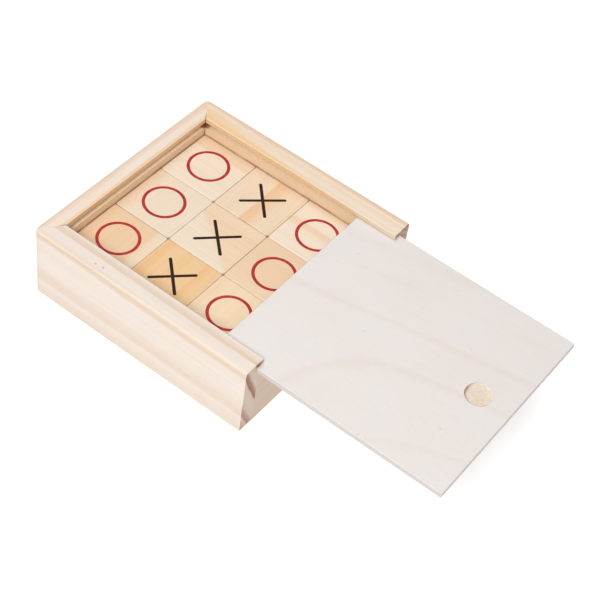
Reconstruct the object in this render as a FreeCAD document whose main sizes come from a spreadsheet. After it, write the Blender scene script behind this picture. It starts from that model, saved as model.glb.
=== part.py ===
# Tic tac toe set: a mitred pine box with a sliding plywood lid and nine loose playing pieces.
#
# Frame: millimetres, +Z up. The origin is the centre of the box's bottom face.
# The lid is drawn out towards -Y, over the low front rail. The back wall is at +Y.
import FreeCAD, Part
import Sketcher
import math
import os

doc = FreeCAD.newDocument("TicTacToeSet")

# --- Driving dimensions -------------------------------------------------------------------------
SIZES = {
    # playing pieces: nine square blocks on a regular pitch
    "piece_pitch": 30.0,
    "piece_side": 29.85,
    "piece_height": 24.5,
    "piece_edge": 0.5,
    "block_centre_y": 3.0,
    # printed marks, as thin inlays
    "ring_radius": 9.0,
    "stroke": 1.45,
    "cross_length": 21.0,
    "stroke_end": 0.66,
    "ink_depth": 0.2,
    # box walls
    "inner_width": 90.6,
    "side_thickness": 10.9,
    "back_thickness": 8.4,
    "rail_thickness": 8.0,
    "rail_housing": 2.6,
    "box_length": 113.4,
    "box_height": 37.5,
    "corner_radius": 3.0,
    "top_radius": 1.8,
    "edge_ease": 0.4,
    # floor panel, let into a recess in the underside of the walls
    "floor_thickness": 3.6,
    "floor_overlap": 4.0,
    "floor_play": 0.2,
    # lid and its groove
    "groove_bottom": 32.0,
    "groove_height": 3.1,
    "lid_thickness": 2.7,
    "lid_length": 108.3,
    "lid_overlap": 3.95,
    "lid_play": 0.25,
    "lid_rise": 0.1,
    "lid_drawn": 88.4,
    "lid_edge": 0.35,
    # thumb notch in the lid
    "notch_radius": 6.0,
    "notch_depth": 1.2,
    "notch_inset": 15.3,
    # brads through the floor panel
    "brad_radius": 0.6,
    "brad_length": 12.0,
    "brad_head_radius": 1.1,
    "brad_head": 0.5,
    "brad_spacing": 50.0,
}

# The marks were printed by hand. Each block's marks sit a little off its centre (x, y), and its
# cross is turned a little (in degrees).
PRINT_ERRORS = {
    "back_left": (0.5, 0.3, 1.0),
    "back_centre": (0.0, 0.3, -1.0),
    "back_right": (0.4, 0.6, 0.5),
    "middle_left": (-0.2, -0.3, 0.5),
    "middle_centre": (-0.3, 0.1, 1.0),
    "middle_right": (0.4, -0.2, -1.5),
    "front_left": (0.2, -0.3, 0.0),
    "front_centre": (-0.1, -0.6, 1.5),
    "front_right": (0.3, -0.4, -0.5),
}
for block, errors in PRINT_ERRORS.items():
    for kind, error in zip(("off_x", "off_y", "turn"), errors):
        SIZES[f"{block}_{kind}"] = error

sheet = doc.addObject("Spreadsheet::Sheet", "Sizes")
for row, (alias, value) in enumerate(SIZES.items(), start=1):
    sheet.set(f"A{row}", alias)
    sheet.set(f"B{row}", str(value))
    sheet.setAlias(f"B{row}", alias)
doc.recompute()

# Derived sizes, as expressions of the cells above.
HALF_IN = "Sizes.inner_width / 2"
HALF_WIDE = "(Sizes.inner_width / 2 + Sizes.side_thickness)"
HALF_LONG = "Sizes.box_length / 2"
BACK_IN = "(Sizes.box_length / 2 - Sizes.back_thickness)"
RAIL_IN = "(-Sizes.box_length / 2 + Sizes.rail_thickness)"
FLOOR_HALF = f"({HALF_IN} + Sizes.floor_overlap)"
FLOOR_BACK = f"({BACK_IN} + Sizes.floor_overlap)"
FLOOR_FRONT = f"({RAIL_IN} - Sizes.floor_overlap)"
LID_HALF = f"({HALF_IN} + Sizes.lid_overlap)"
LID_BACK = f"({HALF_LONG} - Sizes.box_length + Sizes.lid_length)"


def number(expression):
    """The value of an expression of the sheet's cells."""
    return float(sheet.evalExpression(expression))


# --- Helpers ------------------------------------------------------------------------------------
def origin_plane(body, role):
    """One of a body's own origin planes, such as XY_Plane."""
    return next(f for f in body.Origin.OriginFeatures if f.Role == role)


def new_sketch(body, name, role="XY_Plane", height="0"):
    """An empty sketch on one of the body's origin planes, raised to a height along its normal."""
    sketch = body.newObject("Sketcher::SketchObject", name)
    sketch.AttachmentSupport = [(origin_plane(body, role), "")]
    sketch.MapMode = "FlatFace"
    sketch.setExpression("AttachmentOffset.Base.z", height)
    return sketch


def outline(sketch, corners):
    """A closed polygon. Each corner is a pair of expressions, and both are bound as constraints."""
    at = [FreeCAD.Vector(number(x), number(y), 0) for x, y in corners]
    count = len(at)
    for i in range(count):
        sketch.addGeometry(Part.LineSegment(at[i], at[(i + 1) % count]), False)
    for i in range(count):
        sketch.addConstraint(Sketcher.Constraint("Coincident", i, 2, (i + 1) % count, 1))
    for i, (x, y) in enumerate(corners):
        for kind, expression, value in (("DistanceX", x, at[i].x), ("DistanceY", y, at[i].y)):
            k = sketch.addConstraint(Sketcher.Constraint(kind, -1, 1, i, 1, value))
            sketch.setExpression(f"Constraints[{k}]", expression)


def rectangle(sketch, left, front, right, back):
    """A rectangle between two pairs of expressions."""
    outline(sketch, [(left, front), (right, front), (right, back), (left, back)])


def circle(sketch, x, y, radius):
    """A circle whose centre and radius are bound to expressions."""
    centre = FreeCAD.Vector(number(x), number(y), 0)
    g = sketch.addGeometry(Part.Circle(centre, FreeCAD.Vector(0, 0, 1), number(radius)), False)
    rules = (
        (Sketcher.Constraint("DistanceX", -1, 1, g, 3, centre.x), x),
        (Sketcher.Constraint("DistanceY", -1, 1, g, 3, centre.y), y),
        (Sketcher.Constraint("Radius", g, number(radius)), radius),
    )
    for rule, expression in rules:
        k = sketch.addConstraint(rule)
        sketch.setExpression(f"Constraints[{k}]", expression)


def pad(body, name, sketch, length):
    feature = body.newObject("PartDesign::Pad", name)
    feature.Profile = sketch
    feature.setExpression("Length", length)
    doc.recompute()
    return feature


def edges_where(shape, test):
    """The names of the edges whose middle point and direction pass a test."""
    names = []
    for i, edge in enumerate(shape.Edges, start=1):
        middle = edge.valueAt((edge.FirstParameter + edge.LastParameter) / 2)
        if test(middle, edge):
            names.append(f"Edge{i}")
    return names


def fillet(body, name, base, radius, test):
    feature = body.newObject("PartDesign::Fillet", name)
    feature.Base = (base, edges_where(base.Shape, test))
    feature.setExpression("Radius", radius)
    doc.recompute()
    return feature


def new_body(name):
    return doc.addObject("PartDesign::Body", name)


def tool_box(name, low, high):
    """A Part::Box between two corners, each given as three expressions."""
    box = doc.addObject("Part::Box", name)
    for letter, size, a, b in zip("xyz", ("Length", "Width", "Height"), low, high):
        box.setExpression(size, f"({b}) - ({a})")
        box.setExpression(f"Placement.Base.{letter}", a)
    return box


def boolean(kind, name, base, tool):
    result = doc.addObject(f"Part::{kind}", name)
    result.Base = base
    result.Tool = tool
    return result


def near(a, b):
    return abs(a - b) < 1e-6


parts = {}


def keep(name, feature):
    """Registers a finished sub-part under its node name."""
    feature.Label = name
    parts[name] = feature
    return feature


# --- Shared tool shapes of the box --------------------------------------------------------------
def rounded_block():
    """The box's outer form: upright back corners and outer top edges rounded, the rest eased."""
    body = new_body("OuterForm")
    plan = new_sketch(body, "OuterPlan")
    rectangle(plan, f"-{HALF_WIDE}", f"-{HALF_LONG}", HALF_WIDE, HALF_LONG)
    solid = pad(body, "OuterPad", plan, "Sizes.box_height")
    front = -number(HALF_LONG)
    top = number("Sizes.box_height")

    def upright_back(middle, edge):
        return near(middle.z, top / 2) and middle.y > 0

    def outer_top(middle, edge):
        return near(middle.z, top) and not near(middle.y, front)

    def eased(middle, edge):
        return near(middle.y, front) or near(middle.z, 0)

    solid = fillet(body, "UprightCorners", solid, "Sizes.corner_radius", upright_back)
    solid = fillet(body, "TopEdges", solid, "Sizes.top_radius", outer_top)
    fillet(body, "EasedEdges", solid, "Sizes.edge_ease", eased)
    return body


outer_form = rounded_block()

GROOVE_TOP = "Sizes.groove_bottom + Sizes.groove_height"
lid_slot = tool_box(
    "LidSlot",
    (f"-({LID_HALF} + Sizes.lid_play)", "-Sizes.box_length", "Sizes.groove_bottom"),
    (f"{LID_HALF} + Sizes.lid_play", f"{LID_BACK} + Sizes.lid_play", GROOVE_TOP),
)
floor_recess = tool_box(
    "FloorRecess",
    (f"-({FLOOR_HALF} + Sizes.floor_play)", f"{FLOOR_FRONT} - Sizes.floor_play", "0"),
    (f"{FLOOR_HALF} + Sizes.floor_play", f"{FLOOR_BACK} + Sizes.floor_play", "Sizes.floor_thickness"),
)
rail_space = tool_box(
    "RailSpace",
    (f"-({HALF_IN} + Sizes.rail_housing)", f"-{HALF_LONG}", "0"),
    (f"{HALF_IN} + Sizes.rail_housing", RAIL_IN, "Sizes.groove_bottom"),
)


# --- Brads --------------------------------------------------------------------------------------
def brad(index, x, y):
    """One headed brad, driven up through the floor panel, its head flush underneath."""
    shank = doc.addObject("Part::Cylinder", f"BradShank{index}")
    shank.setExpression("Radius", "Sizes.brad_radius")
    shank.setExpression("Height", "Sizes.brad_length")
    head = doc.addObject("Part::Cylinder", f"BradHead{index}")
    head.setExpression("Radius", "Sizes.brad_head_radius")
    head.setExpression("Height", "Sizes.brad_head")
    whole = boolean("Fuse", f"Brad{index}", shank, head)
    whole.setExpression("Placement.Base.x", x)
    whole.setExpression("Placement.Base.y", y)
    return whole


BRAD_SIDE = f"({HALF_IN} + Sizes.floor_overlap / 2)"
BRAD_BACK = f"({BACK_IN} + Sizes.floor_overlap / 2)"
BRAD_FRONT = f"({RAIL_IN} - Sizes.floor_overlap / 2)"
brads = []
for side in ("-", ""):
    along = f"{side}Sizes.brad_spacing / 2"
    for x, y in ((f"-{BRAD_SIDE}", along), (BRAD_SIDE, along), (along, BRAD_BACK), (along, BRAD_FRONT)):
        brads.append(brad(len(brads) + 1, x, y))
floor_brads = doc.addObject("Part::Compound", "FloorBrads")
floor_brads.Links = brads
keep("floor_brads", floor_brads)


# --- Box ----------------------------------------------------------------------------------------
def wall(name, corners, inner_edge):
    """A wall from its plan, cut to the outer form, grooved, recessed and bored for its brads."""
    body = new_body(name.title().replace("_", "") + "Blank")
    plan = new_sketch(body, body.Name + "Plan")
    outline(plan, corners)
    blank = pad(body, body.Name + "Pad", plan, "Sizes.box_height")
    fillet(body, body.Name + "Lip", blank, "Sizes.edge_ease", inner_edge)
    shape = boolean("Common", body.Name + "Shaped", body, outer_form)
    for tool in (lid_slot, floor_recess, rail_space, floor_brads):
        shape = boolean("Cut", f"{name}_less_{tool.Name}", shape, tool)
    return keep(name, shape)


def side_wall(name, sign):
    corners = [
        (f"{sign}{HALF_IN}", f"-{HALF_LONG}"),
        (f"{sign}{HALF_WIDE}", f"-{HALF_LONG}"),
        (f"{sign}{HALF_WIDE}", HALF_LONG),
        (f"{sign}{HALF_IN}", BACK_IN),
    ]
    inner = number(f"{sign}{HALF_IN}")
    top = number("Sizes.box_height")

    def lip(middle, edge):
        return near(middle.z, top) and near(middle.x, inner)

    return wall(name, corners, lip)


def back_wall():
    corners = [
        (f"-{HALF_IN}", BACK_IN),
        (HALF_IN, BACK_IN),
        (HALF_WIDE, HALF_LONG),
        (f"-{HALF_WIDE}", HALF_LONG),
    ]
    inner = number(BACK_IN)
    top = number("Sizes.box_height")

    def lip(middle, edge):
        return near(middle.z, top) and near(middle.y, inner)

    return wall("back_wall", corners, lip)


def front_rail():
    """The low front wall. Its ends sit in the side walls and its top is level with the groove."""
    body = new_body("FrontRailBlank")
    plan = new_sketch(body, "FrontRailPlan")
    half = f"({HALF_IN} + Sizes.rail_housing)"
    rectangle(plan, f"-{half}", f"-{HALF_LONG}", half, RAIL_IN)
    blank = pad(body, "FrontRailPad", plan, "Sizes.groove_bottom")
    top = number("Sizes.groove_bottom")

    def long_top(middle, edge):
        return near(middle.z, top) and near(middle.x, 0)

    fillet(body, "FrontRailTop", blank, "Sizes.edge_ease", long_top)
    shape = boolean("Cut", "front_rail_less_floor", body, floor_recess)
    return keep("front_rail", boolean("Cut", "front_rail_less_brads", shape, floor_brads))


def bottom_panel():
    body = new_body("BottomPanelBlank")
    plan = new_sketch(body, "BottomPanelPlan")
    rectangle(plan, f"-{FLOOR_HALF}", FLOOR_FRONT, FLOOR_HALF, FLOOR_BACK)
    pad(body, "BottomPanelPad", plan, "Sizes.floor_thickness")
    return keep("bottom_panel", boolean("Cut", "bottom_panel_less_brads", body, floor_brads))


side_wall("left_wall", "-")
side_wall("right_wall", "")
back_wall()
front_rail()
bottom_panel()


# --- Lid ----------------------------------------------------------------------------------------
def sliding_lid():
    """The lid, drawn out by lid_drawn from closed, with a shallow round thumb notch."""
    body = new_body("SlidingLid")
    plan = new_sketch(body, "LidPlan")
    rectangle(plan, f"-{LID_HALF}", f"-{HALF_LONG}", LID_HALF, LID_BACK)
    plate = pad(body, "LidPad", plan, "Sizes.lid_thickness")

    def every_edge(middle, edge):
        return True

    plate = fillet(body, "LidEdges", plate, "Sizes.lid_edge", every_edge)
    spot = new_sketch(body, "NotchPlan", height="Sizes.lid_thickness")
    circle(spot, "0", f"-{HALF_LONG} + Sizes.notch_inset", "Sizes.notch_radius")
    notch = body.newObject("PartDesign::Pocket", "ThumbNotch")
    notch.Profile = spot
    notch.setExpression("Length", "Sizes.notch_depth")
    body.setExpression("Placement.Base.y", "-Sizes.lid_drawn")
    body.setExpression("Placement.Base.z", "Sizes.groove_bottom + Sizes.lid_rise")
    doc.recompute()
    removed = plate.Shape.Volume - notch.Shape.Volume
    expected = math.pi * number("Sizes.notch_radius") ** 2 * number("Sizes.notch_depth")
    if abs(removed - expected) > 0.01 * expected:
        raise ValueError("the thumb notch did not cut the lid")
    return keep("sliding_lid", body)


sliding_lid()


# --- Playing pieces -----------------------------------------------------------------------------
def place(feature, x, y, z):
    for letter, expression in zip("xyz", (x, y, z)):
        feature.setExpression(f"Placement.Base.{letter}", expression)


def ring_mark(name, x, y, z):
    """A printed ring: the space between two circles."""
    body = new_body(name.title().replace("_", ""))
    plan = new_sketch(body, body.Name + "Plan")
    circle(plan, "0", "0", "Sizes.ring_radius + Sizes.stroke / 2")
    circle(plan, "0", "0", "Sizes.ring_radius - Sizes.stroke / 2")
    pad(body, body.Name + "Pad", plan, "Sizes.ink_depth")
    place(body, x, y, z)
    return keep(name, body)


def cross_mark(name, x, y, z, turn):
    """A printed cross: two straight strokes with rounded ends along the block's diagonals."""
    body = new_body(name.title().replace("_", ""))
    plan = new_sketch(body, body.Name + "Plan")
    reach = "Sizes.cross_length / 2"
    half = "Sizes.stroke / 2"
    steps = [(reach, half), (half, half), (half, reach)]
    corners = []
    for _ in range(4):
        corners += steps
        steps = [(f"-({b})", a) for a, b in steps]
    outline(plan, corners)
    diagonal = 45
    upright = FreeCAD.Vector(0, 0, 1)
    plan.AttachmentOffset = FreeCAD.Placement(FreeCAD.Vector(0, 0, 0), FreeCAD.Rotation(upright, diagonal))
    plan.setExpression("AttachmentOffset.Rotation.Angle", f"{diagonal} + {turn}")
    strokes = pad(body, body.Name + "Pad", plan, "Sizes.ink_depth")
    half_depth = number("Sizes.ink_depth / 2")
    inner = number("Sizes.cross_length / 4")

    def stroke_end(middle, edge):
        return near(middle.z, half_depth) and math.hypot(middle.x, middle.y) > inner

    fillet(body, body.Name + "Ends", strokes, "Sizes.stroke_end", stroke_end)
    place(body, x, y, z)
    return keep(name, body)


def piece(name, column, line, upper):
    """A block with a ring on one face and a cross on the other, let into the wood."""
    x = f"{column} * Sizes.piece_pitch"
    y = f"Sizes.block_centre_y + {line} * Sizes.piece_pitch"
    body = new_body(name.title().replace("_", "") + "Blank")
    plan = new_sketch(body, body.Name + "Plan")
    half = "Sizes.piece_side / 2"
    rectangle(plan, f"-{half}", f"-{half}", half, half)
    block = pad(body, body.Name + "Pad", plan, "Sizes.piece_height")
    fillet(body, body.Name + "Edges", block, "Sizes.piece_edge", lambda middle, edge: True)
    place(body, x, y, "Sizes.floor_thickness")
    errors = "Sizes." + name.removeprefix("piece_")
    mark_x = f"{x} + {errors}_off_x"
    mark_y = f"{y} + {errors}_off_y"
    above = "Sizes.floor_thickness + Sizes.piece_height - Sizes.ink_depth"
    below = "Sizes.floor_thickness"
    ring_z, cross_z = (above, below) if upper == "ring" else (below, above)
    ring = ring_mark(f"{name}_ring", mark_x, mark_y, ring_z)
    cross = cross_mark(f"{name}_cross", mark_x, mark_y, cross_z, f"{errors}_turn")
    shape = boolean("Cut", body.Name + "Ringed", body, ring)
    return keep(name, boolean("Cut", body.Name + "Crossed", shape, cross))


for line, line_name, upper in ((1, "back", "ring"), (0, "middle", "cross"), (-1, "front", "ring")):
    for column, column_name in ((-1, "left"), (0, "centre"), (1, "right")):
        piece(f"piece_{line_name}_{column_name}", column, line, upper)


# --- Check and export ---------------------------------------------------------------------------
doc.recompute()
for obj in doc.Objects:
    if "Invalid" in obj.State or "Error" in obj.State:
        raise RuntimeError(f"{obj.Name} failed: {obj.State}")
for name, feature in parts.items():
    if feature.Shape.isNull() or not feature.Shape.isValid():
        raise RuntimeError(f"{name} has no valid shape")

os.makedirs("parts", exist_ok=True)
for name, feature in parts.items():
    feature.Shape.exportStep(f"parts/{name}.step")
    box = feature.Shape.BoundBox
    print(
        f"{name:28s} solids {len(feature.Shape.Solids)} volume {feature.Shape.Volume:10.2f}"
        f"  x {box.XMin:8.2f} {box.XMax:8.2f}  y {box.YMin:8.2f} {box.YMax:8.2f}"
        f"  z {box.ZMin:7.2f} {box.ZMax:7.2f}"
    )
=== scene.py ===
"""Tic tac toe set: a pine box with a sliding plywood lid and nine printed blocks.

Metres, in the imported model's frame: +Z up, the lid drawn out towards -Y. Wood grain, inks and
wear are worked out from the place of each point on the object, in millimetres.
"""
import bmesh
import bpy
import math
from mathutils import Matrix, Vector, noise


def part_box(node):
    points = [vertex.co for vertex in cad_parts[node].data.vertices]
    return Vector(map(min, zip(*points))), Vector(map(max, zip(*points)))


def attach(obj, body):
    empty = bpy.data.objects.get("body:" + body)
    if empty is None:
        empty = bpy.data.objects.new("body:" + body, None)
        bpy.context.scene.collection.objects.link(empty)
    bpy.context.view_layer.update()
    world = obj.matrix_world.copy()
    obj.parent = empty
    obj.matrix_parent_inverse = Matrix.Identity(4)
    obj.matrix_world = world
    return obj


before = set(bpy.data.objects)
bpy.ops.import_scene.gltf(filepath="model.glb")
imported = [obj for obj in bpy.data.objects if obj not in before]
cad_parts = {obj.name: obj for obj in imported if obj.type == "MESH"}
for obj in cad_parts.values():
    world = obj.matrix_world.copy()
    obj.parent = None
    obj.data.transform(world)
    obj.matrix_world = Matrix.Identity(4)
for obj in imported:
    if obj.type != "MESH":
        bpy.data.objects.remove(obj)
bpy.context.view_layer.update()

MM = 0.001
ROWS = ("back", "middle", "front")
COLUMNS = ("left", "centre", "right")

# Faces of the CAD pieces that the finishes and the notch are placed from, in millimetres.
INNER_X, OUTER_X = (corner.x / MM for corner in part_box("right_wall"))
INNER_Y, OUTER_Y = (corner.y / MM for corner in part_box("back_wall"))
WALL_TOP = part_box("back_wall")[1].z / MM
BLOCK_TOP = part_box("piece_middle_centre")[1].z / MM
LID_BOTTOM, LID_TOP = (corner.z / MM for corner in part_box("sliding_lid"))
LID_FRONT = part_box("sliding_lid")[0].y / MM

# Cuts in the CAD pieces, which no box gives, in millimetres.
GROOVE_DEPTH = 4.2
NOTCH_RADIUS = 6.0
NOTCH_DEPTH = 1.2
NOTCH_INSET = 15.3


# --- Camera ---------------------------------------------------------------------------------------
# The target, the lens and the sensor are in millimetres, angles in degrees, the rest in metres.
VIEW_TARGET = Vector((-9.3, -47.4, LID_TOP))
VIEW_AZIMUTH = -59.65
VIEW_ELEVATION = 48.46
VIEW_ROLL = 9.49
VIEW_DISTANCE = 0.6375
LENS = 93.6
SENSOR_WIDTH = 36.0
NEAREST_SEEN = 0.05


def make_camera():
    """Looks down on the left wall, from the front left, at a point on the lid near the rail."""
    azimuth = math.radians(VIEW_AZIMUTH)
    elevation = math.radians(VIEW_ELEVATION)
    back = Vector((
        math.sin(azimuth) * math.cos(elevation),
        -math.cos(azimuth) * math.cos(elevation),
        math.sin(elevation),
    ))
    data = bpy.data.cameras.new("camera")
    data.lens = LENS
    data.sensor_width = SENSOR_WIDTH
    data.clip_start = NEAREST_SEEN
    camera = bpy.data.objects.new("camera", data)
    bpy.context.scene.collection.objects.link(camera)
    upright = (-back).to_track_quat("-Z", "Y").to_matrix()
    roll = Matrix.Rotation(math.radians(VIEW_ROLL), 3, "Z")
    place = Matrix.Translation(VIEW_TARGET * MM + back * VIEW_DISTANCE)
    camera.matrix_world = place @ (upright @ roll).to_4x4()
    bpy.context.scene.camera = camera


make_camera()


# --- Shader nodes ---------------------------------------------------------------------------------
class Shader:
    """A material's node tree, with short calls for the nodes that the finishes share."""

    def __init__(self, name):
        self.material = bpy.data.materials.new(name)
        self.material.use_nodes = True
        self.tree = self.material.node_tree
        self.surface = self.tree.nodes["Principled BSDF"]

    def node(self, kind, **settings):
        made = self.tree.nodes.new(kind)
        for key, value in settings.items():
            setattr(made, key, value)
        return made

    def feed(self, socket, value):
        """Links a node's output to a socket, or sets a plain number, vector or colour on it."""
        if isinstance(value, bpy.types.NodeSocket):
            self.tree.links.new(value, socket)
        else:
            socket.default_value = value

    def maths(self, operation, *values):
        made = self.node("ShaderNodeMath", operation=operation)
        for socket, value in zip(made.inputs, values):
            self.feed(socket, value)
        return made.outputs[0]

    def vector(self, operation, *values):
        made = self.node("ShaderNodeVectorMath", operation=operation)
        for socket, value in zip(made.inputs, values):
            self.feed(socket, value)
        return made.outputs["Value" if operation in ("DOT_PRODUCT", "DISTANCE") else "Vector"]

    def combine(self, x, y, z):
        made = self.node("ShaderNodeCombineXYZ")
        for socket, value in zip(made.inputs, (x, y, z)):
            self.feed(socket, value)
        return made.outputs[0]

    def split(self, vector):
        made = self.node("ShaderNodeSeparateXYZ")
        self.feed(made.inputs[0], vector)
        return made.outputs[0], made.outputs[1], made.outputs[2]

    def mix(self, amount, a, b, blend="MIX"):
        made = self.node("ShaderNodeMix", data_type="RGBA", blend_type=blend)
        self.feed(made.inputs["Factor"], amount)
        self.feed(made.inputs[6], a)
        self.feed(made.inputs[7], b)
        return made.outputs[2]

    def tint(self, colour, tone, amount=1.0):
        """The colour multiplied by a tone."""
        return self.mix(amount, colour, tone, "MULTIPLY")

    def step(self, value, low, high, low_out=0.0, high_out=1.0):
        """A smooth step from low_out to high_out as value goes from low to high."""
        made = self.node("ShaderNodeMapRange", interpolation_type="SMOOTHSTEP")
        for socket, number in zip(made.inputs, (value, low, high, low_out, high_out)):
            self.feed(socket, number)
        return made.outputs[0]

    def ramp(self, value, stops):
        """Grey levels or colours, in straight lines between stops: (position, level or colour)."""
        made = self.node("ShaderNodeValToRGB")
        made.color_ramp.interpolation = "LINEAR"
        elements = made.color_ramp.elements
        while len(elements) < len(stops):
            elements.new(1.0)
        for element, (position, level) in zip(elements, stops):
            element.position = position
            element.color = level if isinstance(level, tuple) else (level, level, level, 1.0)
        self.feed(made.inputs[0], value)
        return made.outputs[0]

    def noise(self, vector, scale=1.0, detail=2.0, roughness=0.5):
        """Smooth noise from 0 to 1, about 0.5. The scale is in cycles per unit of the vector."""
        made = self.node("ShaderNodeTexNoise")
        self.feed(made.inputs["Vector"], vector)
        made.inputs["Scale"].default_value = scale
        made.inputs["Detail"].default_value = detail
        made.inputs["Roughness"].default_value = roughness
        return made.outputs["Fac"]

    def stretched(self, vector, x, y, z, shift=(0.0, 0.0, 0.0)):
        """The vector scaled along each axis and shifted, so that a noise differs from the next."""
        return self.vector("MULTIPLY_ADD", vector, (x, y, z), shift)

    def sway(self, value, by_noise, amount):
        """The value moved up and down by a noise, by up to half the amount."""
        return self.maths("MULTIPLY_ADD", self.maths("SUBTRACT", by_noise, 0.5), amount, value)

    def millimetres(self):
        """The point's place on the object, in millimetres."""
        made = self.node("ShaderNodeVectorMath", operation="SCALE")
        self.feed(made.inputs[0], self.node("ShaderNodeTexCoord").outputs["Object"])
        made.inputs["Scale"].default_value = 1.0 / MM
        return made.outputs[0]

    def facing(self):
        """How far the surface faces along each axis, either way: three numbers from 0 to 1."""
        normal = self.node("ShaderNodeTexCoord").outputs["Normal"]
        return [self.maths("ABSOLUTE", part) for part in self.split(normal)]

    def bump(self, height, distance, strength):
        made = self.node("ShaderNodeBump")
        made.inputs["Strength"].default_value = strength
        made.inputs["Distance"].default_value = distance
        self.feed(made.inputs["Height"], height)
        return made.outputs[0]

    def finish(self, colour, roughness, normal, specular=0.35):
        self.feed(self.surface.inputs["Base Color"], colour)
        self.feed(self.surface.inputs["Roughness"], roughness)
        self.feed(self.surface.inputs["Normal"], normal)
        self.surface.inputs["Specular IOR Level"].default_value = specular
        return self.material


def rgb(red, green, blue):
    """A colour given in the display's 0 to 255 levels, as the linear values that shaders take."""
    def linear(level):
        part = level / 255.0
        return part / 12.92 if part <= 0.04045 else ((part + 0.055) / 1.055) ** 2.4
    return (linear(red), linear(green), linear(blue), 1.0)


def blend_colour(a, b, amount):
    return tuple(p + (q - p) * amount for p, q in zip(a, b))


def assign(node, material):
    """Gives a CAD node one material in all its slots."""
    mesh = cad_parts[node].data
    mesh.materials.clear()
    mesh.materials.append(material)


# --- Solid wood: growth ---------------------------------------------------------------------------
# A board's grain runs along X or Y. These are the two axes across it, then the one along it.
GRAIN = {"x": (1, 2, 0), "y": (0, 2, 1)}
# All in millimetres: from a board's middle to the log's heart line, the reach of a board's growth
# either way from its middle, the width of a late wood band's sharp end, how far the rings wander
# along the trunk, and how far they ripple.
HEART_DISTANCE = 300.0
BAND_REACH = 40.0
BAND_DROP = 0.7
TRUNK_DRIFT = 2.4
RING_RIPPLE = 0.7


def ring_growth(shader, board, shifted, heart):
    """How far the tree had grown at a point, in millimetres past the board's middle."""
    flat = shader.vector("MULTIPLY", board, (1.0, 1.0, 0.0))
    radius = shader.vector("DISTANCE", flat, (*heart, 0.0))
    growth = shader.maths("SUBTRACT", radius, HEART_DISTANCE)
    drift = shader.noise(shader.stretched(shifted, 0.03, 0.03, 0.012), detail=1.5)
    ripple = shader.noise(shader.stretched(shifted, 0.3, 0.3, 0.035))
    return shader.sway(shader.sway(growth, drift, TRUNK_DRIFT), ripple, RING_RIPPLE)


def growth_bands(shader, growth, bands):
    """Late wood, from 0 to 1: each band rises slowly as the tree grew, then stops sharply."""
    stops = [(0.0, 0.0)]
    for place, rise, strength in sorted(bands):
        shape = ((-rise, 0.0), (-0.5 * rise, 0.7 * strength), (0.0, strength), (BAND_DROP, 0.0))
        for at, level in shape:
            stops.append(((place + at + BAND_REACH) / (2 * BAND_REACH), level))
    part = shader.maths("DIVIDE", shader.maths("ADD", growth, BAND_REACH), 2 * BAND_REACH)
    return shader.ramp(part, stops + [(1.0, 0.0)])


# --- Solid wood: details --------------------------------------------------------------------------
RESIN = rgb(150, 98, 56)
# Painted highlight colour, laid on the rounded edges.
EDGE_HIGHLIGHT = rgb(246, 236, 224)
OPEN_JOINT = rgb(112, 66, 40)


def fibre_tones(shader, colour, fibre, streak):
    """Fine pale and dark lines along the grain, which are dots on cut ends."""
    fibre_tone = shader.ramp(fibre, ((0.25, 0.95), (0.5, 0.99), (0.75, 1.01)))
    streak_tone = shader.ramp(streak, (
        (0.25, rgb(250, 246, 241)),
        (0.5, rgb(255, 254, 252)),
        (0.8, rgb(255, 252, 246)),
    ))
    return shader.tint(shader.tint(colour, fibre_tone), streak_tone)


def resin_canals(shader, colour, shifted, late_wood):
    """Short thin brown dashes, mostly in the late wood."""
    canal = shader.noise(shader.stretched(shifted, 2.6, 2.6, 0.2), detail=0.0)
    share = shader.step(late_wood, 0.0, 0.6, 0.04, 0.16)
    canal = shader.maths("MULTIPLY", shader.step(canal, 0.74, 0.8), share)
    return shader.mix(canal, colour, RESIN)


def edge_highlights(shader, colour, facing_axes, streak):
    """Painted highlights: edges, which face along no axis, are painted paler than the faces beside
    them.
    """
    flatness = shader.maths("MAXIMUM", facing_axes[0], facing_axes[1])
    flatness = shader.maths("MAXIMUM", flatness, facing_axes[2])
    highlight = shader.maths(
        "MULTIPLY",
        shader.step(flatness, 0.82, 0.96, 0.4, 0.0),
        shader.step(streak, 0.3, 0.6, 0.5, 1.0),
    )
    return shader.mix(highlight, colour, EDGE_HIGHLIGHT)


def joint_shadow(shader, colour, x, y, joint):
    """The dark open inner end of a mitre: joint is (inner x, inner y, outer x, outer y)."""
    inner_x, inner_y, outer_x, outer_y = joint
    run = math.hypot(outer_x - inner_x, outer_y - inner_y)
    along_x = (outer_x - inner_x) / run
    along_y = (outer_y - inner_y) / run
    off = shader.maths("MULTIPLY_ADD", x, along_y, inner_y * along_x - inner_x * along_y)
    off = shader.maths("ABSOLUTE", shader.maths("MULTIPLY_ADD", y, -along_x, off))
    out = shader.maths("MULTIPLY_ADD", x, along_x, -inner_x * along_x - inner_y * along_y)
    out = shader.maths("MULTIPLY_ADD", y, along_y, out)
    near_joint = shader.step(off, 0.1, 0.4, 0.6, 0.0)
    dark = shader.maths("MULTIPLY", near_joint, shader.step(out, 0.3, 4.5, 1.0, 0.0))
    return shader.mix(dark, colour, OPEN_JOINT)


def stain_and_shade_spot(shader, colour, point, mark):
    """A small round spot, used for stains and for painted shade: mark is (x, y, z, radius, colour)."""
    x, y, z, radius, tone = mark
    gap = shader.vector("DISTANCE", point, (x, y, z))
    return shader.mix(shader.step(gap, 0.2 * radius, radius, 0.6, 0.0), colour, tone)


# --- Solid wood: the box's inside -----------------------------------------------------------------
# The inner faces lie as far from this line, at the back, as from X = 0, at the sides.
MIDDLE_Y = INNER_Y - INNER_X
# Painted light, laid on the inner faces below the groove.
INSIDE_LIGHT = rgb(255, 243, 226)
# Painted light, laid on the back of the lid groove.
GROOVE_LIGHT = rgb(255, 237, 206)
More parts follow.
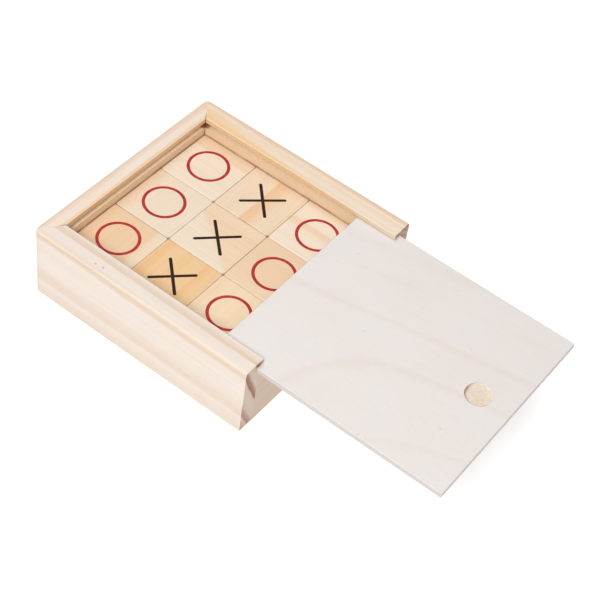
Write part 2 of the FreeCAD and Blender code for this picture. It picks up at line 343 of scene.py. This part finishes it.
# Painted shade in the deep corners where the groove ends.
GROOVE_END_SHADE = rgb(142, 70, 34)
# Painted shade along the gap between the blocks and the walls.
GAP_SHADE = rgb(156, 106, 64)
# The middle of each painted shade at the groove's ends, past the inner faces of the side and back
# walls.
SHADE_PAST_X = 1.5
SHADE_PAST_Y = 1.3


def wall_inside(shader, colour, x, y, z):
    """Painted light on inner faces and groove; painted shade at the groove's ends and the blocks'
    tops.
    """
    from_middle = shader.maths("SUBTRACT", y, MIDDLE_Y)
    from_middle = shader.maths("MAXIMUM", shader.maths("ABSOLUTE", x), from_middle)
    depth = shader.maths("SUBTRACT", from_middle, INNER_X)

    # Painted light: the inner faces below the groove are painted paler than the wood outside.
    inner_face = shader.step(depth, 0.05, 0.12, 1.0, 0.0)
    below_lid = shader.step(z, LID_BOTTOM - 0.3, LID_BOTTOM + 0.2, 0.22, 0.0)
    colour = shader.mix(shader.maths("MULTIPLY", inner_face, below_lid), colour, INSIDE_LIGHT)

    # Painted light on the back of the lid groove, and painted shade where the groove ends at the
    # corners.
    in_groove = shader.maths(
        "MULTIPLY",
        shader.step(z, LID_BOTTOM - 0.2, LID_BOTTOM - 0.11),
        shader.step(z, LID_TOP + 0.2, LID_TOP + 0.3, 1.0, 0.0),
    )
    lit_groove_back = shader.maths(
        "MULTIPLY",
        shader.step(depth, 0.02, 0.2, 0.0, 0.9),
        shader.step(depth, GROOVE_DEPTH + 0.02, GROOVE_DEPTH + 0.1, 1.0, 0.0),
    )
    colour = shader.mix(shader.maths("MULTIPLY", in_groove, lit_groove_back), colour, GROOVE_LIGHT)
    for side in (1.0, -1.0):
        groove_end = (side * (INNER_X + SHADE_PAST_X), INNER_Y + SHADE_PAST_Y, 0.0)
        near = shader.vector("DISTANCE", shader.combine(x, y, 0.0), groove_end)
        end_shade = shader.maths("MULTIPLY", in_groove, shader.step(near, 1.6, 3.6, 0.9, 0.0))
        colour = shader.mix(end_shade, colour, GROOVE_END_SHADE)

    # Painted shade along the inner faces at the blocks' top, stronger in some places than in others.
    patches = shader.noise(shader.combine(x, y, z), scale=0.16, detail=3.0, roughness=0.6)
    from_block_top = shader.maths("ABSOLUTE", shader.maths("SUBTRACT", z, BLOCK_TOP))
    gap_shade = shader.maths(
        "MULTIPLY",
        shader.step(from_block_top, 0.1, 0.7, 0.65, 0.0),
        shader.step(patches, 0.35, 0.62, 0.3, 1.0),
    )
    return shader.mix(shader.maths("MULTIPLY", inner_face, gap_shade), colour, GAP_SHADE)


# --- Solid wood: boards ---------------------------------------------------------------------------
LATE_END = rgb(168, 118, 98)
CUT_TONE = rgb(240, 231, 226)
# Each board's noises are moved by its seed times this, so that no two boards are alike.
SEED_SHIFT = (13.7, 5.3, 41.0)
GRAIN_RELIEF = 0.00006


def solid_wood(name, grain, middle, facing, bands, pale, warm, late, warm_zone=None, *,
               side_strength, seed, cut_tone=CUT_TONE, joints=(), marks=(), inside=False):
    """Pine cut from a log: growth rings about a far heart line, so faces and end grain agree.

    middle is a point in the two directions across the grain and facing the direction, in degrees,
    in which the tree grew there. bands are late wood bands: (millimetres past the middle, width,
    strength). warm_zone is (from, to, across, along): the wood turns warm as across * growth +
    along * the place along the grain goes from one number to the other. side_strength is how much
    the bands show on faces along the grain. cut_tone tints the end grain. joints are mitres that
    the board meets, marks are small stains and painted shade spots, and inside adds the painted
    light and shade of the box's inner faces.
    """
    shader = Shader(name)
    point = shader.millimetres()
    place = shader.split(point)
    facing_axes = shader.facing()
    first, second, along = GRAIN[grain]
    angle = math.radians(facing)
    heart = (
        middle[0] - HEART_DISTANCE * math.cos(angle),
        middle[1] - HEART_DISTANCE * math.sin(angle),
    )
    board = shader.combine(place[first], place[second], place[along])
    shifted = shader.vector("ADD", board, tuple(seed * part for part in SEED_SHIFT))
    growth = ring_growth(shader, board, shifted, heart)
    late_wood = growth_bands(shader, growth, bands)
    slow = shader.maths("MULTIPLY", place[along], 0.01)
    fine_rings = shader.noise(shader.combine(growth, seed, slow), scale=0.9)

    # Pale wood with warm patches, then the fine rings and the late wood bands over it.
    mottle = shader.noise(shader.stretched(shifted, 0.11, 0.11, 0.025), detail=3.0, roughness=0.6)
    warmth = shader.step(mottle, 0.42, 0.78, 0.0, 0.3)
    if warm_zone is not None:
        start, end, across_share, along_share = warm_zone
        zone = shader.maths("MULTIPLY", growth, across_share)
        zone = shader.maths("MULTIPLY_ADD", place[along], along_share, zone)
        warmth = shader.maths("MAXIMUM", warmth, shader.step(zone, start, end))
    colour = shader.mix(warmth, pale, warm)
    # On end grain the bands stand out more, and the cut fibres look darker.
    end_grain = shader.step(facing_axes[along], 0.5, 0.9)
    strength = shader.step(facing_axes[along], 0.4, 0.9, side_strength, 1.0)
    late = shader.mix(end_grain, late, LATE_END)
    colour = shader.mix(shader.step(fine_rings, 0.35, 0.75, 0.0, 0.1), colour, late)
    colour = shader.mix(shader.maths("MULTIPLY", late_wood, strength), colour, late)

    fibre = shader.noise(shader.stretched(shifted, 5.5, 5.5, 0.09), detail=3.0, roughness=0.65)
    streak = shader.noise(shader.stretched(shifted, 1.1, 1.1, 0.018), detail=2.5, roughness=0.6)
    colour = fibre_tones(shader, colour, fibre, streak)
    colour = resin_canals(shader, colour, shifted, late_wood)
    colour = shader.tint(colour, cut_tone, end_grain)
    colour = edge_highlights(shader, colour, facing_axes, streak)
    if inside:
        colour = wall_inside(shader, colour, *place)
    for joint in joints:
        colour = joint_shadow(shader, colour, place[0], place[1], joint)
    for mark in marks:
        colour = stain_and_shade_spot(shader, colour, point, mark)

    pores = shader.noise(shader.stretched(shifted, 7.0, 7.0, 0.35), roughness=0.7)
    height = shader.maths("MULTIPLY_ADD", fibre, 0.7, shader.maths("MULTIPLY", pores, 0.4))
    height = shader.maths("MULTIPLY_ADD", late_wood, 0.25, height)
    roughness = shader.step(fibre, 0.2, 0.8, 0.66, 0.52)
    return shader.finish(colour, roughness, shader.bump(height, GRAIN_RELIEF, 0.75))


# --- Walls and rail -------------------------------------------------------------------------------
# Where each mitre opens into the box and where it ends outside.
BACK_RIGHT = (INNER_X, INNER_Y, OUTER_X, OUTER_Y)
BACK_LEFT = (-INNER_X, INNER_Y, -OUTER_X, OUTER_Y)
SMUDGE = rgb(150, 142, 136)
LEFT_SMUDGES = (
    (-53.0, 24.9, WALL_TOP, 0.75, SMUDGE),
    (-52.6, 21.2, WALL_TOP, 0.85, SMUDGE),
)


def wall_finishes():
    assign("left_wall", solid_wood(
        "left_wall_pine", "y", (-51.0, 24.0), 202.0,
        ((-14.5, 3.0, 0.7), (-6.2, 3.4, 1.2), (1.1, 3.2, 1.1), (9.9, 3.2, 0.75), (13.6, 2.6, 0.5)),
        rgb(231, 221, 213), rgb(231, 212, 190), rgb(206, 166, 120),
        side_strength=0.36, seed=1.0, joints=(BACK_LEFT,), marks=LEFT_SMUDGES, inside=True,
    ))
    assign("right_wall", solid_wood(
        "right_wall_pine", "y", (53.8, 37.5), 50.0,
        ((-24.0, 3.0, 0.6), (-15.0, 3.0, 0.4), (-4.4, 1.2, 0.4), (-1.6, 1.3, 0.5), (0.6, 2.0, 1.15)),
        rgb(237, 221, 202), rgb(238, 206, 165), rgb(212, 156, 104), (3.6, 5.6, -1.0, 0.05),
        side_strength=0.36, seed=2.0, cut_tone=rgb(212, 198, 186), joints=(BACK_RIGHT,), inside=True,
    ))
    assign("back_wall", solid_wood(
        "back_wall_pine", "x", (54.5, 37.5), 12.0,
        ((-14.0, 3.0, 0.7), (-8.2, 2.0, 0.7), (-5.4, 1.4, 0.6), (0.6, 2.6, 1.0), (7.0, 3.0, 0.8)),
        rgb(235, 221, 208), rgb(238, 202, 160), rgb(210, 154, 108), (4.6, 6.4, -1.0, 0.0),
        side_strength=0.3, seed=3.0, joints=(BACK_RIGHT, BACK_LEFT), inside=True,
    ))
    assign("front_rail", solid_wood(
        "front_rail_pine", "x", (-52.0, 16.0), 80.0,
        ((-15.0, 5.0, 0.6), (-8.0, 5.0, 0.4), (-1.0, 5.0, 0.5), (6.0, 4.0, 0.4), (12.5, 5.0, 0.6)),
        rgb(213, 195, 178), rgb(208, 186, 160), rgb(184, 146, 116),
        side_strength=0.16, seed=4.0,
    ))


wall_finishes()


# --- Blocks ---------------------------------------------------------------------------------------
HONEY = rgb(230, 166, 92)
TAN = rgb(226, 172, 116)
# Painted shade at each block's top corners, where the gaps between blocks meet.
CORNER_SHADE = rgb(132, 90, 58)
CORNER_SHADE_RADIUS = 1.1
BLOCK_SIDE_STRENGTH = 0.4
FIRST_BLOCK_SEED = 10.0

# Each block: the grain's axis, the direction that the tree grew in across it, its late wood bands,
# its pale, warm and late colours, and where the wood turns warm.
BLOCK_WOOD = {
    "back_left": (
        "x", 8.0, ((-8.0, 2.5, 0.4), (4.0, 4.0, 0.15), (12.5, 4.0, 0.05)),
        rgb(233, 213, 188), rgb(230, 200, 166), TAN, (-12.0, -7.0, 1.0, 0.0),
    ),
    "back_centre": (
        "x", 20.0, ((-6.0, 4.0, 0.1), (5.5, 4.0, 0.2), (14.5, 7.0, 0.8)),
        rgb(232, 217, 198), rgb(231, 207, 180), TAN, None,
    ),
    "back_right": (
        "y", 12.0, ((-4.4, 3.0, 0.35), (3.0, 3.0, 0.1), (9.6, 3.0, 0.55), (14.0, 3.0, 0.35)),
        rgb(235, 220, 201), rgb(231, 208, 181), TAN, (7.0, 9.5, 1.0, 0.0),
    ),
    "middle_left": (
        "x", 14.0, ((-7.2, 4.0, 0.8), (3.0, 5.0, 0.3), (12.6, 4.0, 0.7)),
        rgb(231, 196, 151), rgb(230, 189, 140), HONEY, None,
    ),
    "middle_centre": (
        "y", 6.0, ((-9.0, 3.0, 0.1), (1.0, 3.0, 0.1), (9.0, 4.0, 0.2)),
        rgb(233, 218, 197), rgb(233, 207, 178), TAN, (-4.5, -1.5, 1.0, -0.73),
    ),
    "middle_right": (
        "x", 5.0, ((-13.5, 4.0, 0.3), (0.6, 8.0, 1.15), (9.0, 4.0, 0.1)),
        rgb(232, 212, 187), rgb(231, 203, 166), HONEY, None,
    ),
    "front_left": (
        "x", 60.0, ((-9.0, 4.0, 0.2), (-1.0, 4.0, 0.2), (8.0, 5.0, 0.25)),
        rgb(235, 212, 182), rgb(232, 205, 170), TAN, None,
    ),
    "front_centre": (
        "y", 30.0, ((-9.0, 4.0, 0.2), (5.0, 5.0, 0.3), (13.0, 4.0, 0.3)),
        rgb(232, 208, 179), rgb(230, 202, 172), TAN, (-9.5, -7.0, 1.0, 0.0),
    ),
    "front_right": (
        "y", 10.0, ((-8.0, 4.0, 0.1), (1.8, 4.6, 0.9), (14.2, 3.0, 0.9)),
        rgb(237, 221, 203), rgb(235, 209, 180), TAN, None,
    ),
}


def block_finishes():
    for index, (block, wood) in enumerate(BLOCK_WOOD.items()):
        grain, facing, bands, pale, warm, late, warm_zone = wood
        low, high = (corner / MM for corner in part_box(f"piece_{block}"))
        centre = (low + high) / 2
        first, second, along = GRAIN[grain]
        middle = (centre[first], high[second])
        if warm_zone is not None:
            start, end, across_share, along_share = warm_zone
            shift = along_share * centre[along]
            warm_zone = (start + shift, end + shift, across_share, along_share)
        # Painted shade spots at the four top corners of the block.
        corner_shades = [
            (x, y, high.z, CORNER_SHADE_RADIUS, CORNER_SHADE)
            for x in (low.x, high.x)
            for y in (low.y, high.y)
        ]
        assign(f"piece_{block}", solid_wood(
            f"{block}_block_pine", grain, middle, facing, bands, pale, warm, late, warm_zone,
            side_strength=BLOCK_SIDE_STRENGTH, seed=FIRST_BLOCK_SEED + index, marks=corner_shades,
        ))


block_finishes()


# --- Plywood --------------------------------------------------------------------------------------
# Growth lines of the face veneers: (place in the field, width, strength), in millimetres.
LID_LINES = (
    (-31.0, 4.0, 0.2),
    (-1.1, 4.5, 0.27),
    (19.5, 5.0, 0.28),
    (42.0, 9.0, 0.12),
    (58.0, 8.0, 0.16),
)
PANEL_LINES = (
    (-44.0, 7.0, 0.4),
    (-23.0, 5.0, 0.45),
    (-4.0, 7.0, 0.4),
    (17.0, 5.0, 0.5),
    (38.0, 8.0, 0.4),
)
# The least and greatest place that a line can have, and how far the lines wander.
FIELD_LOW = -80.0
FIELD_HIGH = 90.0
VENEER_DRIFT = 5.0
# The lid's lines lean to the right towards the front. Left of an X and behind a Y they arch over
# to the left edge, except in the field's straight part. Near that edge they bend once more.
LINE_LEAN = 0.2
LINE_ORIGIN_X = -29.0
ARCH_X = -2.0
ARCH_Y = -115.0
ARCH_BEND = 0.011
ARCHED_BELOW = 6.0
STRAIGHT_ABOVE = 14.0
EDGE_X = -20.0
EDGE_Y = -145.0
EDGE_REACH = 30.0
EDGE_BEND = 0.0085
PANEL_LEAN = 0.09

PORE = rgb(188, 168, 146)
SPECK = rgb(170, 150, 136)
GLUE = rgb(150, 124, 98)
PLY_EDGE_TONE = rgb(235, 235, 238)
# The glue lines' places, as a part of the board's thickness either way from its middle.
GLUE_LINE = 0.277


def lid_field(shader, x, y):
    """A number that is level along the lid's growth lines: arches on the left, straighter right."""
    field = shader.maths("MULTIPLY_ADD", y, LINE_LEAN, shader.maths("SUBTRACT", x, LINE_ORIGIN_X))
    left = shader.maths("MAXIMUM", shader.maths("SUBTRACT", ARCH_X, x), 0.0)
    behind = shader.maths("MAXIMUM", shader.maths("SUBTRACT", y, ARCH_Y), 0.0)
    bend = shader.step(field, ARCHED_BELOW, STRAIGHT_ABOVE, ARCH_BEND, 0.0)
    field = shader.maths("MULTIPLY_ADD", shader.maths("MULTIPLY", behind, left), bend, field)
    near_edge = shader.maths("MAXIMUM", shader.maths("SUBTRACT", EDGE_X, x), 0.0)
    along_edge = shader.maths("MINIMUM", shader.maths("SUBTRACT", y, EDGE_Y), EDGE_REACH)
    at_edge = shader.maths("MULTIPLY", along_edge, near_edge)
    return shader.maths("MULTIPLY_ADD", at_edge, EDGE_BEND, field)


def panel_field(shader, x, y):
    """The same for the floor panel: nearly straight lines from front to back."""
    return shader.maths("MULTIPLY_ADD", y, PANEL_LEAN, x)


def veneer_lines(shader, board, field, lines):
    """Faint growth lines of a peeled veneer, from 0 to 1."""
    drift = shader.noise(shader.stretched(board, 0.03, 0.016, 0.0))
    field = shader.sway(field, drift, VENEER_DRIFT)
    span = FIELD_HIGH - FIELD_LOW
    stops = [(0.0, 0.0)]
    for place, width, level in lines:
        middle = (place - FIELD_LOW) / span
        half = width / span
        stops += [(middle - 0.6 * half, 0.0), (middle, level), (middle + 0.4 * half, 0.0)]
    part = shader.maths("DIVIDE", shader.maths("SUBTRACT", field, FIELD_LOW), span)
    return shader.ramp(part, stops + [(1.0, 0.0)])


def veneer(shader, board, fibre, growth, face, line_colour):
    """The face layers: a mottled colour with growth lines, fibres, pores and dark specks."""
    mottle = shader.noise(shader.stretched(board, 0.05, 0.03, 0.0, (3.0, 8.0, 0.0)))
    mottled = blend_colour(face, line_colour, 0.16)
    colour = shader.mix(shader.step(mottle, 0.3, 0.7), face, mottled)
    colour = shader.mix(growth, colour, line_colour)
    colour = shader.tint(colour, shader.ramp(fibre, ((0.25, 0.945), (0.55, 1.0), (0.75, 1.0))))
    pore = shader.noise(shader.stretched(board, 3.4, 0.35, 1.0, (0.0, 6.0, 0.0)), detail=0.0)
    colour = shader.mix(shader.step(pore, 0.76, 0.84, 0.0, 0.3), colour, PORE)
    speck = shader.noise(shader.stretched(board, 0.55, 0.45, 1.0, (1.0, 2.0, 3.0)), detail=0.0)
    return shader.mix(shader.step(speck, 0.83, 0.88, 0.0, 0.4), colour, SPECK)


def ply_layers(shader, board, height, bottom, top):
    """Where the core is and where the glue lines beside it are, each from 0 to 1."""
    wobble = shader.noise(shader.stretched(board, 0.12, 0.12, 0.5))
    level = shader.sway(height, wobble, 0.18)
    share = shader.maths("DIVIDE", shader.maths("SUBTRACT", level, bottom), top - bottom)
    off_middle = shader.maths("ABSOLUTE", shader.maths("SUBTRACT", share, 0.5))
    in_core = shader.step(off_middle, GLUE_LINE - 0.007, GLUE_LINE + 0.008, 1.0, 0.0)
    glue = shader.maths(
        "MULTIPLY",
        shader.step(off_middle, GLUE_LINE - 0.015, GLUE_LINE, 0.0, 0.5),
        shader.step(off_middle, GLUE_LINE, GLUE_LINE + 0.015, 1.0, 0.0),
    )
    return in_core, glue


def plywood(name, node, face, line_colour, core, field_of, lines):
    """Three-ply board. The layers show on its edges and inside anything cut into it."""
    shader = Shader(name)
    bottom, top = (corner.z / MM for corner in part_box(node))
    board = shader.millimetres()
    x, y, height = shader.split(board)
    in_core, glue = ply_layers(shader, board, height, bottom, top)
    growth = veneer_lines(shader, board, field_of(shader, x, y), lines)
    fibre = shader.noise(shader.stretched(board, 4.5, 0.12, 1.0), detail=3.0, roughness=0.65)
    cross = shader.noise(shader.stretched(board, 0.25, 5.0, 5.0), detail=3.0, roughness=0.7)

    faces = veneer(shader, board, fibre, growth, face, line_colour)
    cross_tone = shader.ramp(cross, ((0.25, 0.8), (0.6, 1.0), (0.8, 1.06)))
    colour = shader.mix(in_core, faces, shader.tint(core, cross_tone))
    colour = shader.mix(glue, colour, GLUE)
    on_edge = shader.step(shader.facing()[2], 0.3, 0.8, 1.0, 0.0)
    colour = shader.tint(colour, PLY_EDGE_TONE, on_edge)

    relief = shader.maths("MULTIPLY_ADD", fibre, 0.6, shader.maths("MULTIPLY", growth, 0.15))
    core_relief = shader.maths("MULTIPLY", shader.maths("MULTIPLY", cross, in_core), 1.4)
    normal = shader.bump(shader.maths("ADD", relief, core_relief), GRAIN_RELIEF, 0.7)
    return shader.finish(colour, shader.step(fibre, 0.2, 0.8, 0.7, 0.55), normal)


def plywood_finishes():
    assign("sliding_lid", plywood(
        "lid_plywood", "sliding_lid", rgb(226, 220, 217), rgb(218, 201, 182), rgb(231, 223, 215),
        lid_field, LID_LINES,
    ))
    assign("bottom_panel", plywood(
        "panel_plywood", "bottom_panel", rgb(234, 220, 204), rgb(206, 178, 146), rgb(216, 186, 142),
        panel_field, PANEL_LINES,
    ))


plywood_finishes()


# --- Inks -----------------------------------------------------------------------------------------
INK_RELIEF = 0.00004


def ink(name, thick, thin, seed):
    """Matt printing ink: the wood's fibres show through where it is thin."""
    shader = Shader(name)
    board = shader.millimetres()
    cloud = shader.noise(shader.stretched(board, 0.55, 0.55, 0.55, (seed, 0.0, 0.0)), detail=3.0)
    fibres = shader.stretched(board, 4.0, 0.5, 4.0, (0.0, seed, 0.0))
    fibre = shader.noise(fibres, detail=3.0, roughness=0.7)
    cover = shader.maths("MULTIPLY_ADD", fibre, 0.5, shader.maths("MULTIPLY", cloud, 0.5))
    colour = shader.mix(shader.step(cover, 0.38, 0.66), thick, thin)
    roughness = shader.step(cover, 0.3, 0.7, 0.42, 0.62)
    return shader.finish(colour, roughness, shader.bump(fibre, INK_RELIEF, 0.6), specular=0.2)


def ink_finishes():
    red = ink("red_ink", rgb(161, 32, 35), rgb(190, 60, 58), 1.0)
    black = ink("black_ink", rgb(34, 12, 1), rgb(52, 28, 10), 2.0)
    for row in ROWS:
        for column in COLUMNS:
            assign(f"piece_{row}_{column}_ring", red)
            assign(f"piece_{row}_{column}_cross", black)


ink_finishes()


# --- Metal ----------------------------------------------------------------------------------------
BRUSH_RELIEF = 0.00002


def steel(name):
    """Dull brushed steel with darker spots."""
    shader = Shader(name)
    board = shader.millimetres()
    brushed = shader.noise(shader.stretched(board, 9.0, 1.2, 2.0), detail=3.0, roughness=0.7)
    spots = shader.noise(board, scale=0.9, detail=3.0)
    colour = shader.mix(shader.step(spots, 0.45, 0.75), rgb(176, 172, 164), rgb(120, 104, 88))
    shader.surface.inputs["Metallic"].default_value = 1.0
    roughness = shader.step(brushed, 0.2, 0.8, 0.5, 0.32)
    return shader.finish(colour, roughness, shader.bump(brushed, BRUSH_RELIEF, 0.5))


assign("floor_brads", steel("brad_steel"))


# --- Thumb notch ----------------------------------------------------------------------------------
# The direction, in radians from +X towards +Y, in which the cutter left a clean steep side.
STEEP_SIDE = 2.35
# The torn floor, in millimetres: its mean height over the CAD notch's flat floor and its relief,
# the least drop from the rim, and the gap to the notch's wall.
TORN_LEVEL = 0.1
TORN_RELIEF = 0.14
RIM_DROP = 0.03
WALL_GAP = 0.02
SLOPE_RISE = NOTCH_DEPTH - 0.16
NOTCH_STEPS = 44
NOTCH_SPOKES = 170
CORE_RELIEF = 0.0001
# Painted shadow colour for the notch's floor.
CRESCENT_SHADOW = rgb(168, 134, 112)


def torn_core(name, centre):
    """The core veneer inside the notch: pale, rough and picked up by the cutter."""
    shader = Shader(name)
    board = shader.millimetres()
    x, y, height = shader.split(board)
    fibre = shader.noise(shader.stretched(board, 0.5, 3.2, 3.0), detail=4.0, roughness=0.7)
    patch = shader.noise(board, scale=0.5, detail=3.0, roughness=0.6)
    colour = shader.mix(shader.step(patch, 0.35, 0.68), rgb(226, 214, 198), rgb(224, 204, 182))
    colour = shader.tint(colour, shader.ramp(fibre, ((0.3, 0.87), (0.5, 0.99), (0.8, 1.04))))
    risen = shader.step(height, LID_TOP - 0.9, LID_TOP - 0.15, 0.0, 0.85)
    colour = shader.mix(risen, colour, rgb(229, 221, 214))

    # A brown crescent of painted shadow on the floor, along the steep side.
    flat = shader.combine(x, y, 0.0)
    steep = (math.cos(STEEP_SIDE), math.sin(STEEP_SIDE), 0.0)
    from_centre = shader.vector("DISTANCE", flat, (centre.x, centre.y, 0.0))
    towards = shader.vector("DOT_PRODUCT", flat, steep)
    start = centre.x * steep[0] + centre.y * steep[1]
    painted_crescent = shader.maths(
        "MULTIPLY",
        shader.step(from_centre, 4.6, 5.6, 0.0, 0.8),
        shader.step(towards, start + 1.4, start + 4.0),
    )
    colour = shader.mix(painted_crescent, colour, CRESCENT_SHADOW)
    return shader.finish(colour, 0.75, shader.bump(fibre, CORE_RELIEF, 0.9))


def notch_lift(x, y, r, angle):
    """Height above the notch's flat floor, in millimetres: torn fibres, rising towards the rim."""
    torn = noise.fractal(Vector((0.55 * x, 1.7 * y, 3.0)), 1.0, 2.1, 4)
    ragged = noise.fractal(Vector((0.9 * x, 0.9 * y, 9.0)), 1.0, 2.1, 3)
    # The slope at the rim is widest and highest opposite the steep side, where away is 1.
    away = 0.5 - 0.5 * math.cos(angle - STEEP_SIDE)
    width = 0.15 + 2.1 * away * (0.75 + 0.5 * ragged)
    part = min(max((r - (NOTCH_RADIUS - width)) / width, 0.0), 1.0)
    slope = part * part * (3.0 - 2.0 * part) * min(1.0, 1.6 * away) * SLOPE_RISE
    return min(max(TORN_LEVEL + TORN_RELIEF * torn, 0.0) + slope, NOTCH_DEPTH - RIM_DROP)


def notch_mesh(centre):
    """Rings of points about the centre, each at its own height, and a skirt down to the CAD floor."""
    shape = bmesh.new()
    rings = []
    for i in range(1, NOTCH_STEPS + 1):
        r = (NOTCH_RADIUS - WALL_GAP) * i / NOTCH_STEPS
        ring = []
        for k in range(NOTCH_SPOKES):
            angle = 2 * math.pi * k / NOTCH_SPOKES
            x = centre.x + r * math.cos(angle)
            y = centre.y + r * math.sin(angle)
            ring.append(shape.verts.new((x, y, centre.z + notch_lift(x, y, r, angle))))
        rings.append(ring)
    rings.append([shape.verts.new((vert.co.x, vert.co.y, centre.z)) for vert in rings[-1]])
    hub = shape.verts.new((centre.x, centre.y, centre.z + TORN_LEVEL))
    for k in range(NOTCH_SPOKES):
        after = (k + 1) % NOTCH_SPOKES
        shape.faces.new((hub, rings[0][k], rings[0][after]))
        for inner, outer in zip(rings, rings[1:]):
            shape.faces.new((inner[k], outer[k], outer[after], inner[after]))
    shape.normal_update()
    bmesh.ops.scale(shape, vec=(MM, MM, MM), verts=shape.verts)
    mesh = bpy.data.meshes.new("notch_floor")
    shape.to_mesh(mesh)
    shape.free()
    mesh.shade_smooth()
    return mesh


def link(name, mesh, material, body):
    made = bpy.data.objects.new(name, mesh)
    bpy.context.scene.collection.objects.link(made)
    mesh.materials.append(material)
    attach(made, body)
    return made


def notch_floor():
    """The notch's rough floor: steep on one side, and torn up to the rim on the other."""
    centre = Vector((0.0, LID_FRONT + NOTCH_INSET, LID_TOP - NOTCH_DEPTH))
    made = link("notch_floor", notch_mesh(centre), torn_core("notch_core", centre), "lid")


notch_floor()


# --- Studio ---------------------------------------------------------------------------------------
WHITE = (1.0, 1.0, 1.0, 1.0)
FLOOR_HALF = 3.0
FLOOR_GLOW = 0.45
FLOOR_RELIEF = 0.00001
SKY_STRENGTH = 0.36
# Each lamp: its place, what it points at, its width, in metres, and its power in watts.
LAMPS = {
    "key": ((-0.70, -0.24, 0.78), (0.0, 0.0, 0.02), 0.45, 6.4),
    "top": ((0.15, 0.12, 0.8), (0.0, 0.0, 0.0), 0.7, 2.7),
}


def studio_floor():
    """A plain pale sheet that glows a little, so that shadows on it stay soft and faint."""
    mesh = bpy.data.meshes.new("floor")
    shape = bmesh.new()
    bmesh.ops.create_grid(shape, x_segments=1, y_segments=1, size=FLOOR_HALF)
    shape.to_mesh(mesh)
    shape.free()
    floor = bpy.data.objects.new("floor", mesh)
    bpy.context.scene.collection.objects.link(floor)
    paper = Shader("studio_floor")
    grain = paper.noise(paper.millimetres(), scale=0.02)
    tone = paper.mix(grain, rgb(217, 217, 217), rgb(219, 219, 219))
    paper.finish(tone, 0.9, paper.bump(grain, FLOOR_RELIEF, 0.1), specular=0.1)
    paper.surface.inputs["Emission Color"].default_value = WHITE
    paper.surface.inputs["Emission Strength"].default_value = FLOOR_GLOW
    mesh.materials.append(paper.material)


def sky():
    world = bpy.data.worlds.new("studio_light")
    world.use_nodes = True
    background = world.node_tree.nodes["Background"]
    background.inputs["Color"].default_value = WHITE
    background.inputs["Strength"].default_value = SKY_STRENGTH
    bpy.context.scene.world = world


def area_light(name, place, target, size, power):
    data = bpy.data.lights.new(name, "AREA")
    data.shape = "DISK"
    data.size = size
    data.energy = power
    lamp = bpy.data.objects.new(name, data)
    bpy.context.scene.collection.objects.link(lamp)
    lamp.location = place
    lamp.rotation_euler = (Vector(target) - Vector(place)).to_track_quat("-Z", "Y").to_euler()


def studio():
    studio_floor()
    sky()
    for name, (place, target, size, power) in LAMPS.items():
        area_light(name, place, target, size, power)
    bpy.context.scene.view_settings.view_transform = "Standard"


studio()
